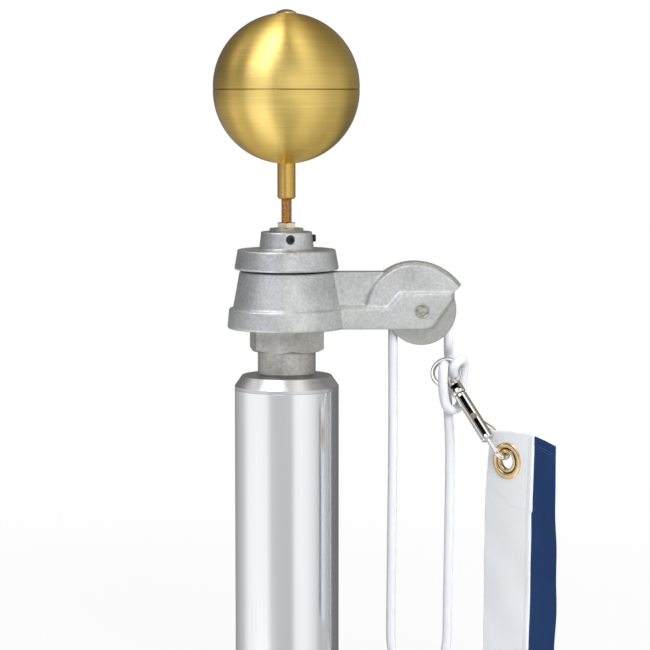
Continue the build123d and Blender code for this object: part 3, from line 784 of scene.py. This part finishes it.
def woven(name, colour, shadow, pitch, depth, roughness, **sockets):
    """Plain weave: two sets of threads, along the strip and up, that pass over and under."""
    made = material(name, colour, 0.0, roughness, **sockets)
    tree = made.node_tree
    place = surface_place(tree)
    across = vector_calc(tree, "DOT_PRODUCT", place, tuple(strip_along)).outputs["Value"]
    up = node(tree, "ShaderNodeSeparateXYZ", place).outputs[2]
    threads, cells = [], []
    for run in (across, up):
        count = calc(tree, "DIVIDE", run, pitch)
        cells.append(calc(tree, "FLOOR", count))
        wave = calc(tree, "SINE", calc(tree, "MULTIPLY", count, pi))
        threads.append(calc(tree, "ABSOLUTE", wave))
    over = calc(tree, "FLOORED_MODULO", calc(tree, "ADD", *cells), 2.0)
    height = node(tree, "ShaderNodeMix", over, data_type="FLOAT")
    tree.links.new(threads[0].outputs[0], height.inputs["A"])
    tree.links.new(threads[1].outputs[0], height.inputs["B"])
    slubs = grain(tree, place, (700, 700, 90))
    clouds = grain(tree, place, (24, 24, 14), 2.0)
    uneven = calc(tree, "ADD", height, slubs)
    tone = mapped(tree, calc(tree, "ADD", uneven, clouds), 0.9, 2.1)
    link(made, "Base Color", blended(tree, tone, shadow, colour))
    bumped(made, uneven, depth)
    return made


canvas = woven("canvas", (0.92, 0.945, 0.98), (0.86, 0.885, 0.92), 0.0008, 6e-5, 0.85,
               Sheen_Weight=0.1)
blue_cloth = woven("blue_cloth", (0.009, 0.042, 0.146), (0.004, 0.026, 0.10), 0.0005, 3e-5, 0.6,
                   Specular_IOR_Level=0.3)
header = cloth("header", canvas, header_left, header_right, header_top, header_thickness, belly,
               header_relief)
field_left = [(up, right - field_tuck) for up, right in header_right]
field = cloth("field", blue_cloth, field_left, field_right, field_top, field_thickness,
              field_belly, field_relief)
hole_radius = 0.0088
punch_mesh = bpy.data.meshes.new("punch")
shape = bmesh.new()
add_bar(shape, hole_radius, -0.01, 0.01, sides=48)
shape.to_mesh(punch_mesh)
shape.free()
punch = put_in_scene("punch", punch_mesh)
facing = strip_out.to_track_quat("Z", "Y").to_matrix().to_4x4()
punch.matrix_world = Matrix.Translation(strip_centre) @ facing
cut = header.modifiers.new("hole", "BOOLEAN")
cut.operation = "DIFFERENCE"
cut.object = punch
cut.solver = "EXACT"
mesh = plain_mesh(header)
header.modifiers.clear()
header.data = mesh
bpy.data.objects.remove(punch)


def stitch_tree():
    """Row of stitches: short rounded lengths of thread, end to end along a curve."""
    tree, given = geometry_tree("stitches", radius=0.0002, length=0.002, pitch=0.0026)
    spots = node(tree, "GeometryNodeCurveToPoints", given["Geometry"], mode="LENGTH")
    tree.links.new(given["pitch"], spots.inputs["Length"])
    bead = node(tree, "GeometryNodeMeshUVSphere", 8, 6, 1.0)
    half = calc(tree, "DIVIDE", given["length"], 2.0)
    size = node(tree, "ShaderNodeCombineXYZ", given["radius"], given["radius"], half)
    rows = node(tree, "GeometryNodeInstanceOnPoints", spots.outputs["Points"])
    tree.links.new(bead.outputs["Mesh"], rows.inputs["Instance"])
    tree.links.new(spots.outputs["Rotation"], rows.inputs["Rotation"])
    tree.links.new(size.outputs[0], rows.inputs["Scale"])
    give_out(tree, given, rows)
    return tree


def sewn(name, paint, rows, thickness, middle, relief):
    """Stitches on both sides of a panel, along rows of places across and up it."""
    curve = bpy.data.curves.new(name + "_rows", "CURVE")
    curve.dimensions = "3D"
    for row in rows:
        for side in (1, -1):
            spline = curve.splines.new("POLY")
            spline.points.add(len(row) - 1)
            for point, (across, up) in zip(spline.points, row):
                out = middle(across, up) + side * (thickness / 2 + relief(across, up))
                point.co = (*on_strip(across, up, out), 1)
    made = grown(name, stitches, curve, Material=paint)
    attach(made, "snap")
    return made


def spun_thread(name, colour, dark, light):
    """Sewing thread, finely mottled by its twist."""
    made = material(name, colour, 0.0, 0.6)
    tree = made.node_tree
    link(made, "Base Color", blended(tree, grain(tree, surface_place(tree), 3000), dark, light))
    return made


stitches = stitch_tree()
white_thread = spun_thread("white_thread", (0.82, 0.82, 0.85), (0.66, 0.66, 0.70),
                           (0.92, 0.92, 0.94))
blue_thread = spun_thread("blue_thread", (0.05, 0.09, 0.22), (0.03, 0.06, 0.16),
                          (0.09, 0.14, 0.30))
ups = [cloth_foot + 3 + k * 4 for k in range(int((20 - cloth_foot) / 4))]
seam_rows = [[(between(header_right, up) - inset, up) for up in ups] for inset in (5.4, 8.2)]
hem_rows = [[(across, between(field_top, across) - drop) for across in range(31, 53, 2)]
            for drop in (hem_depth - 1.4, hem_depth + 1.2)]
header_stitches = sewn("header_stitches", white_thread, seam_rows, header_thickness, belly,
                       header_relief)
field_stitches = sewn("field_stitches", blue_thread, hem_rows, field_thickness, field_belly,
                      field_relief)
for made, source, slot in ((header, "flag_header", "white_canvas"),
                           (field, "flag_field", "blue_cloth")):
    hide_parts(source)
    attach(made, "snap")

# Grommet: two brass rings, each pressed into an inner and an outer roll, closed over the canvas
# and onto each other through its hole. The valley between the rolls is painted dark, as shade.
valley_radius = 0.0107
brass = material("brass", (0.80, 0.56, 0.21), 1.0, 0.2)
tree = brass.node_tree
place = surface_place(tree)
rubs = grain(tree, place, 260, 5.0)
spot = vector_calc(tree, "SUBTRACT", place, tuple(strip_centre))
reach = vector_calc(tree, "LENGTH", spot).outputs["Value"]
# Painted shade: a dark ring along the valley between the rolls.
from_valley = calc(tree, "ABSOLUTE", calc(tree, "SUBTRACT", reach, valley_radius))
valley_shade = mapped(tree, from_valley, 0.0003, 0.0009, 1.0, 0.0)
polished = blended(tree, rubs, (0.74, 0.51, 0.25), (0.93, 0.74, 0.46))
link(brass, "Base Color", mixed(tree, valley_shade, polished, (0.10, 0.045, 0.015)))
link(brass, "Roughness", spread(tree, rubs, 0.12, 0.34))
inner_roll = (8.75, 1.75, 0.95)
outer_roll = (13.45, 2.55, 1.0)
roll_steps = 8
sheet_thickness = 0.12
ring_inside = 8.2
ring_outside = 15.9
hole_outside = 7.9
hole_inside = 7.0
canvas_gap = 0.15
ring_profile = [(ring_inside, 0.0)]
for centre, half, rise in (inner_roll, outer_roll):
    for k in range(roll_steps + 1):
        turn = pi * (1 - k / roll_steps)
        out = sheet_thickness + rise * sin(turn) ** 0.8
        ring_profile.append((centre + half * cos(turn), out))
ring_profile.append((ring_outside, 0.0))
ring_seat = header_thickness / 2 + canvas_gap
rolls = [(radius, ring_seat + out) for radius, out in ring_profile]
front_profile = [(hole_outside, -ring_seat), (hole_inside, -ring_seat)] + rolls
back_profile = [(radius, -out) for radius, out in rolls]


def round_hole(radius, turn, out):
    """Place on the rings, from millimetres and a turn."""
    return on_strip(radius * cos(turn), radius * sin(turn), out)


for name, profile, source in (("front_ring", front_profile, "grommet"),
                              ("back_ring", back_profile, "grommet_washer")):
    made = lathed(name, profile, round_hole, brass)
    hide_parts(source)
    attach(made, "snap")


# Studio: a pale floor, a wide lamp right of the camera, a slim one at its left, one overhead and
# a small one at the side. The camera sees the floor and the world as white, and metals see
# neither the floor nor the lamps, but the surround.
def seen_straight(tree):
    """1 for what the camera, a reflection or a clear material sees, and 0 for light on things."""
    ray = node(tree, "ShaderNodeLightPath")
    seen = calc(tree, "MAXIMUM", ray.outputs["Is Camera Ray"], ray.outputs["Is Glossy Ray"])
    return calc(tree, "MAXIMUM", seen, ray.outputs["Is Transmission Ray"])


floor_half = 4.4
floor_mesh = bpy.data.meshes.new("floor")
floor_mesh.from_pydata([(-floor_half, -floor_half, 0), (floor_half, -floor_half, 0),
                        (floor_half, floor_half, 0), (-floor_half, floor_half, 0)], [],
                       [(0, 1, 2, 3)])
floor = put_in_scene("floor", floor_mesh)
floor_paint = material("floor_paint", (0.75, 0.75, 0.75), 0.0, 0.9)
tree = floor_paint.node_tree
white = node(tree, "ShaderNodeEmission", (1, 1, 1, 1), 1.0)
away = vector_calc(tree, "LENGTH", surface_place(tree)).outputs["Value"]
fade = mapped(tree, away, 0.2, 1.3, 0.93, 1.0, interpolation_type="SMOOTHSTEP")
share = calc(tree, "MULTIPLY", seen_straight(tree), fade)
both = node(tree, "ShaderNodeMixShader", share, tree.nodes["Principled BSDF"], white)
tree.links.new(both.outputs[0], tree.nodes["Material Output"].inputs["Surface"])
floor.data.materials.append(floor_paint)
floor.visible_glossy = False

world = bpy.data.worlds.new("studio")
scene.world = world
world.use_nodes = True
tree = world.node_tree
level = spread(tree, seen_straight(tree), 0.25, 1.0)
tree.links.new(level.outputs[0], tree.nodes["Background"].inputs["Strength"])
tree.nodes["Background"].inputs["Color"].default_value = (1, 1, 1, 1)

centre = Vector((0.04, 0, 0.32))


def lamp(name, azimuth, elevation, distance, width, height, watts):
    """Soft box aimed at the object's middle. Azimuth 0 is the camera's side, and it grows to the
    right."""
    data = bpy.data.lights.new(name, "AREA")
    data.shape = "RECTANGLE"
    data.size, data.size_y = width, height
    data.energy = watts
    round_by, up_by = radians(azimuth), radians(elevation)
    out = Vector((sin(round_by) * cos(up_by), -cos(round_by) * cos(up_by), sin(up_by)))
    made = put_in_scene(name, data)
    made.location = centre + distance * out
    made.rotation_mode = "QUATERNION"
    made.rotation_quaternion = (centre - made.location).to_track_quat("-Z", "Y")
    made.visible_camera = False
    made.visible_glossy = False


lamp("right_lamp", 24, 28, distance=2.6, width=1.1, height=1.1, watts=50)
lamp("left_lamp", -60, 12, distance=2.6, width=0.5, height=1.4, watts=6)
lamp("top_lamp", 20, 76, distance=2.4, width=1.4, height=1.4, watts=22)
lamp("side_lamp", 86, 2, distance=2.4, width=0.6, height=0.5, watts=9)

# Surround: a closed drum about the studio, which only reflections see. Low down it has white
# panels left and right of the camera with grey between them, higher up a wide soft box right of
# the camera, and far above and below that a bright strip at the left.
# A stop is an angle from the camera, growing to the right, and a level.
low_stops = [
    (-180, 0.26), (-145, 0.38), (-114, 0.60), (-93, 0.98), (-76, 1.03), (-60, 1.02), (-45, 0.98),
    (-34, 0.64), (-18, 0.58), (-5, 0.57), (9, 0.57), (19, 0.96), (33, 1.01), (48, 0.94),
    (63, 0.80), (78, 0.53), (96, 0.55), (118, 0.21), (153, 0.16), (180, 0.26),
]
high_stops = [
    (-180, 0.16), (-110, 0.15), (-70, 0.16), (-40, 0.22), (-18, 0.45), (-4, 1.10), (8, 1.55),
    (17, 1.40), (28, 1.02), (42, 0.84), (60, 0.78), (90, 0.68), (120, 0.35), (180, 0.16),
]
far_stops = [
    (-180, 0.20), (-140, 0.24), (-120, 0.34), (-110, 0.95), (-102, 1.0), (-93, 0.42),
    (-78, 0.42), (-66, 2.35), (-36, 2.5), (-22, 0.74), (0, 0.28), (20, 0.26), (36, 0.90),
    (54, 0.85), (70, 0.42), (91, 0.34), (113, 0.24), (180, 0.20),
]
drum_radius = 4.5
drum_foot = -8.0
drum_top = 12.0
brightest = 6.0
even_level = (0.125, 0.122, 0.11)
drum = bpy.data.meshes.new("surround")
shape = bmesh.new()
add_bar(shape, drum_radius, drum_foot, drum_top, sides=96)
shape.to_mesh(drum)
shape.free()
surround = put_in_scene("surround", drum)
paint = material("surround_paint", (0, 0, 0), 0.0, 1.0)
tree = paint.node_tree
place = node(tree, "ShaderNodeSeparateXYZ", surface_place(tree))
angle = calc(tree, "ARCTAN2", place.outputs[0], calc(tree, "MULTIPLY", place.outputs[1], -1.0))
turn = mapped(tree, angle, -pi, pi)
up = place.outputs[2]


def round_ramp(stops, warmth=0.0):
    """Level round the drum, from its stops. A stop holds numbers up to 1, so a level is kept as a
    share of the brightest. With some warmth the dark parts turn warm and the bright ones cool."""
    ramp = node(tree, "ShaderNodeValToRGB", turn)
    elements = ramp.color_ramp.elements
    for azimuth, level in stops[1:-1]:
        elements.new(azimuth / 360 + 0.5)
    for element, (azimuth, level) in zip(elements, stops):
        tinted = (level, level ** (1 + 0.25 * warmth), level ** (1 + warmth))
        element.color = (*(part / brightest for part in tinted), 1)
    return ramp.outputs["Color"]


low_end = -0.16
middle = 0.35
rise = mapped(tree, up, low_end, middle, interpolation_type="SMOOTHSTEP")
panels = mixed(tree, rise, round_ramp(low_stops), round_ramp(high_stops))
from_middle = calc(tree, "ABSOLUTE", calc(tree, "SUBTRACT", up, middle))
far = mapped(tree, from_middle, 1.3, 2.6, interpolation_type="SMOOTHSTEP")
panels = mixed(tree, far, panels, round_ramp(far_stops, warmth=0.16))
evened = mapped(tree, up, -2.6, -1.3, 0.55, 0.0)
panels = mixed(tree, evened, panels, even_level)
gain = mapped(tree, up, 5.0, 11.5, brightest, 14.0)
shine = node(tree, "ShaderNodeEmission", panels, gain)
tree.links.new(shine.outputs[0], tree.nodes["Material Output"].inputs["Surface"])
surround.data.materials.append(paint)
surround.visible_camera = False
surround.visible_diffuse = False
surround.visible_shadow = False
surround.visible_transmission = False

scene.view_settings.view_transform = "Standard"
